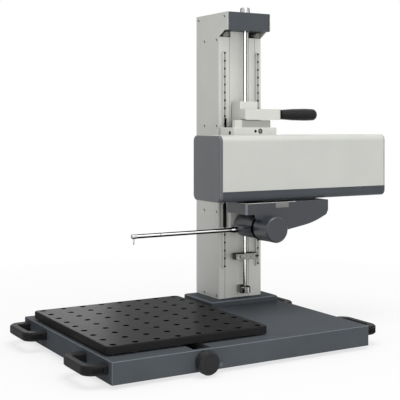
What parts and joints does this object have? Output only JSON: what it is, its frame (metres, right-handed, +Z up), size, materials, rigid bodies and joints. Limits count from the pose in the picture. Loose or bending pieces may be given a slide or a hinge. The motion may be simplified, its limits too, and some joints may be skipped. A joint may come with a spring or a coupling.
{
  "type": "contour measuring machine",
  "caption": "Bench contour measuring machine: sliding hole plate, column with clamped carriage, drive unit, and a probe head with a long pivoting arm.",
  "frame": {"origin": "on the bench, under the middle of the base plate", "axes": "+X to the right along the base's long side, +Y to the back where the column stands, +Z up along the column"},
  "size_m": [0.945, 0.5385, 0.822],
  "materials": {
    "dark_enamel": "satin dark blue-grey paint",
    "rubber": "matt",
    "extrusion": "pale anodised, fine brushed",
    "light_enamel": "satin light grey paint",
    "dark_cap": "satin dark grey paint",
    "rail_steel": "ground",
    "polished_steel": "polished",
    "black_plastic": "fine moulded grain",
    "black_anodised": "black anodised, satin",
    "machined_alu": "pale anodised",
    "black_steel": "black oxide",
    "bright_steel": "turned",
    "bronze": "turned",
    "head_enamel": "satin dark grey paint",
    "glass": "clear"
  },
  "bodies": {
    "stand": {"base_plate": "dark_enamel", "base_feet": "rubber", "column_plinth": "dark_enamel", "column_core": "extrusion", "left_side_cover": "light_enamel", "right_side_cover": "light_enamel", "rear_cover": "light_enamel", "top_cap": "dark_cap", "left_rail": "rail_steel", "right_rail": "rail_steel", "guide_rod": "polished_steel", "rod_top_nut": "bright_steel", "rod_foot_bracket": "bright_steel", "front_left_handle": "black_plastic", "rear_left_handle": "black_plastic", "front_right_handle": "black_plastic", "rear_right_handle": "black_plastic", "handle_studs": "black_steel", "table_guides": "bright_steel", "spindle_bush": "bronze"},
    "table": {"hole_plate": "black_anodised", "table_slide": "machined_alu", "plate_screws": "black_steel"},
    "knob": {"table_knob": "black_plastic", "table_spindle": "bright_steel"},
    "knob_lock": {"knob_lock_lever": "black_steel"},
    "stop": {"stop_clamp": "polished_steel", "stop_screw": "bright_steel"},
    "carriage": {"carriage_plate": "machined_alu", "rail_blocks": "black_steel", "bridge_plate": "machined_alu", "riser_block": "machined_alu", "rod_clamp": "machined_alu", "lever_pin": "bright_steel", "drive_housing": "light_enamel", "drive_tray": "dark_cap", "drive_left_cap": "dark_cap", "drive_right_cap": "light_enamel", "drive_beam": "machined_alu", "x_guide_rail": "rail_steel", "x_screw_bearing": "machined_alu", "drive_motor": "black_steel", "x_scale": "glass"},
    "x_screw": {"x_lead_screw": "bright_steel"},
    "lever": {"clamp_lever": "machined_alu", "lever_grip": "black_plastic"},
    "head": {"head_housing": "head_enamel", "head_slide_block": "machined_alu", "pivot_drum": "head_enamel", "drum_cap": "head_enamel", "pivot_bearings": "bright_steel", "screw_nut": "machined_alu", "scale_reader": "machined_alu"},
    "arm": {"pivot_shaft": "bright_steel", "rear_drum": "head_enamel", "arm_nose": "head_enamel", "arm_coupling": "polished_steel", "arm_tube": "polished_steel", "arm_tip_holder": "bright_steel", "stylus": "bright_steel"}
  },
  "joints": [
    {"name": "z_slide", "type": "slide", "parent": "stand", "child": "carriage", "axis": [0, 0, 1], "range_m": [-0.065, 0.165]},
    {"name": "x_slide", "type": "slide", "parent": "carriage", "child": "head", "axis": [1, 0, 0], "range_m": [-0.04, 0.1]},
    {"name": "x_screw_spin", "type": "hinge", "parent": "carriage", "child": "x_screw", "pos_m": [0.3, 0.078, 0.4], "axis": [1, 0, 0], "continuous": true},
    {"name": "arm_pivot", "type": "hinge", "parent": "head", "child": "arm", "pos_m": [0.205, 0.041, 0.263], "axis": [0, 1, 0], "range_deg": [-6, 6]},
    {"name": "clamp_lever_turn", "type": "hinge", "parent": "carriage", "child": "lever", "pos_m": [0.203, 0.0836, 0.5435], "axis": [0, -1, 0], "range_deg": [0, 8]},
    {"name": "table_slide_y", "type": "slide", "parent": "stand", "child": "table", "axis": [0, 1, 0], "range_m": [-0.03, 0.03]},
    {"name": "knob_spin", "type": "hinge", "parent": "stand", "child": "knob", "pos_m": [-0.115, -0.27, 0.0285], "axis": [0, 1, 0], "continuous": true},
    {"name": "knob_lock_turn", "type": "hinge", "parent": "stand", "child": "knob_lock", "pos_m": [-0.115, -0.259, 0.0285], "axis": [0, -1, 0], "range_deg": [0, 40]},
    {"name": "stop_slide", "type": "slide", "parent": "stand", "child": "stop", "axis": [0, 0, 1], "range_m": [-0.065, 0]}
  ],
  "couplings": [
    {"joint": "x_screw_spin", "follows": "x_slide", "rad_per_m": -1256.6},
    {"joint": "knob_spin", "follows": "table_slide_y", "rad_per_m": -1256.6}
  ]
}
